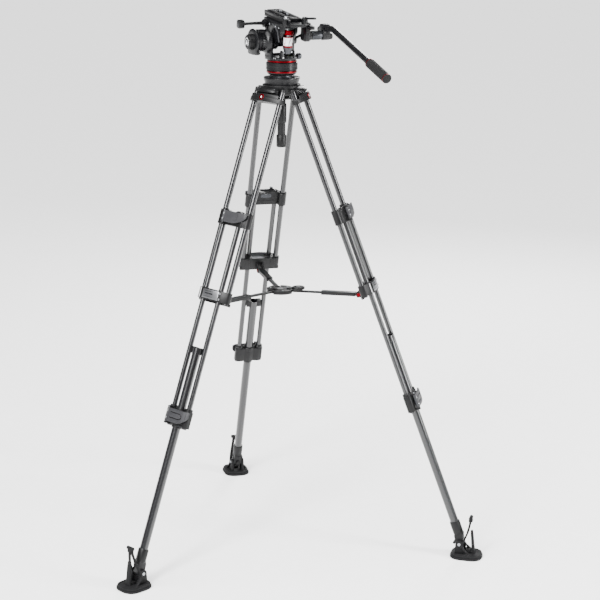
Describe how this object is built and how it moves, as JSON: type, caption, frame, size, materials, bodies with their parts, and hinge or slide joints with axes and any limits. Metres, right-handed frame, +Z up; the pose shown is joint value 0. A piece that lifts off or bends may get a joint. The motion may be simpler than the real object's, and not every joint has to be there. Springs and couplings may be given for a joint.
{
  "type": "video tripod with fluid head",
  "caption": "Three-legged camera support with twin carbon upper tubes, a telescoping mid-level spreader, rubber feet and a pan and tilt fluid head.",
  "frame": {"origin": "on the tripod's upright axis, at floor level with the legs at full spread", "axes": "+Z up along the upright axis, +Y out along leg 1, +X to the right seen from behind leg 1; legs 2 and 3 at 210 and 330 degrees"},
  "size_m": [1.125, 1.0724, 1.6235],
  "materials": {
    "black_plastic": "fine-textured black moulding",
    "carbon": "glossy woven carbon fibre",
    "casting": "satin black powder-coated casting",
    "head_casting": "satin black anodised casting",
    "lever": "satin dark grey moulding",
    "red_anodised": "red anodised",
    "rubber": "matt black rubber",
    "silver": "satin clear anodised",
    "steel": "brushed"
  },
  "bodies": {
    "casting": {"bowl_casting": "casting", "bowl_adaptor": "casting"},
    "leg_1": {"leg_1_yoke": "casting", "leg_1_upper_tubes": "carbon", "leg_1_bracket": "casting"},
    "mid_1": {"leg_1_mid_tubes": "carbon", "leg_1_upper_lock": "casting", "leg_1_lower_lock": "casting"},
    "foot_1": {"leg_1_foot_tube": "carbon"},
    "shoe_1": {"leg_1_foot_shoe": "rubber"},
    "upper_lever_1": {"leg_1_upper_lever": "lever"},
    "lower_lever_1": {"leg_1_lower_lever": "lever"},
    "arm_outer_1": {"leg_1_arm_outer": "casting"},
    "arm_inner_1": {"leg_1_arm_inner": "casting"},
    "leg_2": {"leg_2_yoke": "casting", "leg_2_upper_tubes": "carbon", "leg_2_bracket": "casting"},
    "mid_2": {"leg_2_mid_tubes": "carbon", "leg_2_upper_lock": "casting", "leg_2_lower_lock": "casting"},
    "foot_2": {"leg_2_foot_tube": "carbon"},
    "shoe_2": {"leg_2_foot_shoe": "rubber"},
    "upper_lever_2": {"leg_2_upper_lever": "lever"},
    "lower_lever_2": {"leg_2_lower_lever": "lever"},
    "arm_outer_2": {"leg_2_arm_outer": "casting"},
    "arm_inner_2": {"leg_2_arm_inner": "casting"},
    "leg_3": {"leg_3_yoke": "casting", "leg_3_upper_tubes": "carbon", "leg_3_bracket": "casting"},
    "mid_3": {"leg_3_mid_tubes": "carbon", "leg_3_upper_lock": "casting", "leg_3_lower_lock": "casting"},
    "foot_3": {"leg_3_foot_tube": "carbon"},
    "shoe_3": {"leg_3_foot_shoe": "rubber"},
    "upper_lever_3": {"leg_3_upper_lever": "lever"},
    "lower_lever_3": {"leg_3_lower_lever": "lever"},
    "arm_outer_3": {"leg_3_arm_outer": "casting"},
    "arm_inner_3": {"leg_3_arm_inner": "casting"},
    "spreader_hub": {"spreader_hub": "casting"},
    "level": {"half_ball": "casting", "head_base": "head_casting"},
    "handle": {"levelling_handle": "black_plastic"},
    "drag_ring": {"pan_drag_ring": "black_plastic"},
    "pan": {"pan_body": "head_casting", "tilt_housing": "head_casting"},
    "pan_lock": {"pan_lock_knob": "black_plastic"},
    "balance": {"balance_knob": "black_plastic"},
    "tilt": {"tilt_body": "head_casting", "platform": "head_casting"},
    "tilt_lock": {"tilt_lock_lever": "lever"},
    "piston_barrel": {"counterbalance_cylinder": "red_anodised"},
    "piston_rod": {"counterbalance_rod": "steel"},
    "plate": {"sliding_plate": "head_casting", "camera_screws": "steel"},
    "plate_lever": {"plate_lever": "lever"},
    "lock_button": {"lock_button": "silver"},
    "bar": {"bar_clamp": "head_casting", "pan_bar": "head_casting", "grip": "rubber"},
    "clamp_knob": {"clamp_knob": "black_plastic"}
  },
  "joints": [
    {"name": "leg_1_fold", "type": "hinge", "parent": "casting", "child": "leg_1", "pos_m": [0, 0.051, 1.382], "axis": [-1, 0, 0], "range_deg": [0, 20.9]},
    {"name": "leg_1_middle_slide", "type": "slide", "parent": "leg_1", "child": "mid_1", "axis": [0, 0.3567, -0.9342], "range_m": [-0.28, 0.16]},
    {"name": "leg_1_foot_slide", "type": "slide", "parent": "mid_1", "child": "foot_1", "axis": [0, 0.3567, -0.9342], "range_m": [-0.34, 0.13]},
    {"name": "leg_1_shoe_tilt", "type": "hinge", "parent": "foot_1", "child": "shoe_1", "pos_m": [0, 0.57, 0.042], "axis": [1, 0, 0], "range_deg": [-2, 21]},
    {"name": "leg_1_upper_lever", "type": "hinge", "parent": "mid_1", "child": "upper_lever_1", "pos_m": [0.022, 0.21058, 1.0426], "axis": [0, 0.3567, -0.9342], "range_deg": [0, 100]},
    {"name": "leg_1_lower_lever", "type": "hinge", "parent": "mid_1", "child": "lower_lever_1", "pos_m": [0.028, 0.42905, 0.4859], "axis": [0, 0.3567, -0.9342], "range_deg": [0, 100]},
    {"name": "leg_1_arm_swing", "type": "hinge", "parent": "leg_1", "child": "arm_outer_1", "pos_m": [0, 0.2438, 0.79302], "axis": [-1, 0, 0], "range_deg": [0, 75.7]},
    {"name": "leg_1_arm_telescope", "type": "slide", "parent": "arm_outer_1", "child": "arm_inner_1", "axis": [0, 0.9997, 0.0239], "range_m": [0, 0.0678]},
    {"name": "leg_2_fold", "type": "hinge", "parent": "casting", "child": "leg_2", "pos_m": [-0.04417, -0.0255, 1.382], "axis": [0.5, -0.866, 0], "range_deg": [0, 20.9]},
    {"name": "leg_2_middle_slide", "type": "slide", "parent": "leg_2", "child": "mid_2", "axis": [-0.3089, -0.1784, -0.9342], "range_m": [-0.28, 0.16]},
    {"name": "leg_2_foot_slide", "type": "slide", "parent": "mid_2", "child": "foot_2", "axis": [-0.3089, -0.1784, -0.9342], "range_m": [-0.34, 0.13]},
    {"name": "leg_2_shoe_tilt", "type": "hinge", "parent": "foot_2", "child": "shoe_2", "pos_m": [-0.49363, -0.285, 0.042], "axis": [-0.5, 0.866, 0], "range_deg": [-2, 21]},
    {"name": "leg_2_upper_lever", "type": "hinge", "parent": "mid_2", "child": "upper_lever_2", "pos_m": [-0.19337, -0.08624, 1.0426], "axis": [-0.3089, -0.1784, -0.9342], "range_deg": [0, 100]},
    {"name": "leg_2_lower_lever", "type": "hinge", "parent": "mid_2", "child": "lower_lever_2", "pos_m": [-0.38556, -0.19027, 0.4859], "axis": [-0.3089, -0.1784, -0.9342], "range_deg": [0, 100]},
    {"name": "leg_2_arm_swing", "type": "hinge", "parent": "leg_2", "child": "arm_outer_2", "pos_m": [-0.21113, -0.1219, 0.79302], "axis": [0.5, -0.866, 0], "range_deg": [0, 75.7]},
    {"name": "leg_2_arm_telescope", "type": "slide", "parent": "arm_outer_2", "child": "arm_inner_2", "axis": [-0.8658, -0.4999, 0.0239], "range_m": [0, 0.0678]},
    {"name": "leg_3_fold", "type": "hinge", "parent": "casting", "child": "leg_3", "pos_m": [0.04417, -0.0255, 1.382], "axis": [0.5, 0.866, 0], "range_deg": [0, 20.9]},
    {"name": "leg_3_middle_slide", "type": "slide", "parent": "leg_3", "child": "mid_3", "axis": [0.3089, -0.1784, -0.9342], "range_m": [-0.28, 0.16]},
    {"name": "leg_3_foot_slide", "type": "slide", "parent": "mid_3", "child": "foot_3", "axis": [0.3089, -0.1784, -0.9342], "range_m": [-0.34, 0.13]},
    {"name": "leg_3_shoe_tilt", "type": "hinge", "parent": "foot_3", "child": "shoe_3", "pos_m": [0.49363, -0.285, 0.042], "axis": [-0.5, -0.866, 0], "range_deg": [-2, 21]},
    {"name": "leg_3_upper_lever", "type": "hinge", "parent": "mid_3", "child": "upper_lever_3", "pos_m": [0.17137, -0.12434, 1.0426], "axis": [0.3089, -0.1784, -0.9342], "range_deg": [0, 100]},
    {"name": "leg_3_lower_lever", "type": "hinge", "parent": "mid_3", "child": "lower_lever_3", "pos_m": [0.35756, -0.23877, 0.4859], "axis": [0.3089, -0.1784, -0.9342], "range_deg": [0, 100]},
    {"name": "leg_3_arm_swing", "type": "hinge", "parent": "leg_3", "child": "arm_outer_3", "pos_m": [0.21113, -0.1219, 0.79302], "axis": [0.5, 0.866, 0], "range_deg": [0, 75.7]},
    {"name": "leg_3_arm_telescope", "type": "slide", "parent": "arm_outer_3", "child": "arm_inner_3", "axis": [0.8658, -0.4999, 0.0239], "range_m": [0, 0.0678]},
    {"name": "spreader_rise", "type": "slide", "parent": "casting", "child": "spreader_hub", "axis": [0, 0, 1], "range_m": [0, 0.1165]},
    {"name": "level_tilt", "type": "hinge", "parent": "casting", "child": "level", "pos_m": [0, 0, 1.432], "axis": [0.9808, 0.1951, 0], "range_deg": [-5, 5]},
    {"name": "handle_turn", "type": "hinge", "parent": "level", "child": "handle", "pos_m": [0, 0, 1.3], "axis": [0, 0, 1], "continuous": true},
    {"name": "drag_ring_turn", "type": "hinge", "parent": "level", "child": "drag_ring", "pos_m": [0, 0, 1.462], "axis": [0, 0, 1], "range_deg": [0, 270]},
    {"name": "pan", "type": "hinge", "parent": "level", "child": "pan", "pos_m": [0, 0, 1.48], "axis": [0, 0, 1], "continuous": true},
    {"name": "pan_lock_turn", "type": "hinge", "parent": "pan", "child": "pan_lock", "pos_m": [0.05198, 0.00524, 1.488], "axis": [0.9808, 0.1951, 0], "range_deg": [0, 90]},
    {"name": "tilt", "type": "hinge", "parent": "pan", "child": "tilt", "pos_m": [0, 0, 1.535], "axis": [-0.9808, -0.1951, 0], "range_deg": [-20, 30]},
    {"name": "balance_turn", "type": "hinge", "parent": "pan", "child": "balance", "pos_m": [-0.09808, -0.01951, 1.535], "axis": [-0.9808, -0.1951, 0], "range_deg": [0, 270]},
    {"name": "tilt_lock_turn", "type": "hinge", "parent": "tilt", "child": "tilt_lock", "pos_m": [-0.06471, 0.01776, 1.58402], "axis": [-0.9808, -0.1951, 0], "range_deg": [0, 60]},
    {"name": "piston_swing", "type": "hinge", "parent": "pan", "child": "piston_barrel", "pos_m": [0.00466, -0.04394, 1.505], "axis": [-0.9808, -0.1951, 0], "range_deg": [-12.5, 18.5]},
    {"name": "piston_rod_swing", "type": "hinge", "parent": "tilt", "child": "piston_rod", "pos_m": [0.00583, -0.04982, 1.573], "axis": [-0.9808, -0.1951, 0], "range_deg": [-12, 8]},
    {"name": "plate_slide", "type": "slide", "parent": "tilt", "child": "plate", "axis": [-0.1938, 0.9745, 0.1132], "range_m": [-0.018, 0.035]},
    {"name": "plate_lever_turn", "type": "hinge", "parent": "tilt", "child": "plate_lever", "pos_m": [0.03939, -0.10574, 1.60283], "axis": [0.0221, -0.111, 0.9936], "range_deg": [0, 70]},
    {"name": "lock_button_press", "type": "slide", "parent": "tilt", "child": "lock_button", "axis": [-0.0221, 0.111, -0.9936], "range_m": [0, 0.003], "stiffness_N_per_m": 500, "springref_m": -0.002},
    {"name": "bar_angle", "type": "hinge", "parent": "tilt", "child": "bar", "pos_m": [0.07539, -0.07148, 1.55503], "axis": [-0.9808, -0.1951, 0], "range_deg": [-30, 60]},
    {"name": "clamp_knob_turn", "type": "hinge", "parent": "bar", "child": "clamp_knob", "pos_m": [0.12236, -0.06156, 1.55006], "axis": [0.9808, 0.1951, 0], "continuous": true}
  ],
  "couplings": [
    {"joint": "leg_1_arm_swing", "follows": "leg_1_fold", "ratio": 3.6215},
    {"joint": "leg_1_arm_telescope", "follows": "leg_1_fold", "m_per_rad": 0.18559},
    {"joint": "leg_2_fold", "follows": "leg_1_fold", "ratio": 1},
    {"joint": "leg_2_arm_swing", "follows": "leg_1_fold", "ratio": 3.6215},
    {"joint": "leg_2_arm_telescope", "follows": "leg_1_fold", "m_per_rad": 0.18559},
    {"joint": "leg_3_fold", "follows": "leg_1_fold", "ratio": 1},
    {"joint": "leg_3_arm_swing", "follows": "leg_1_fold", "ratio": 3.6215},
    {"joint": "leg_3_arm_telescope", "follows": "leg_1_fold", "m_per_rad": 0.18559},
    {"joint": "spreader_rise", "follows": "leg_1_fold", "m_per_rad": 0.3191},
    {"joint": "piston_swing", "follows": "tilt", "ratio": 0.6085},
    {"joint": "piston_rod_swing", "follows": "tilt", "ratio": -0.3915}
  ]
}
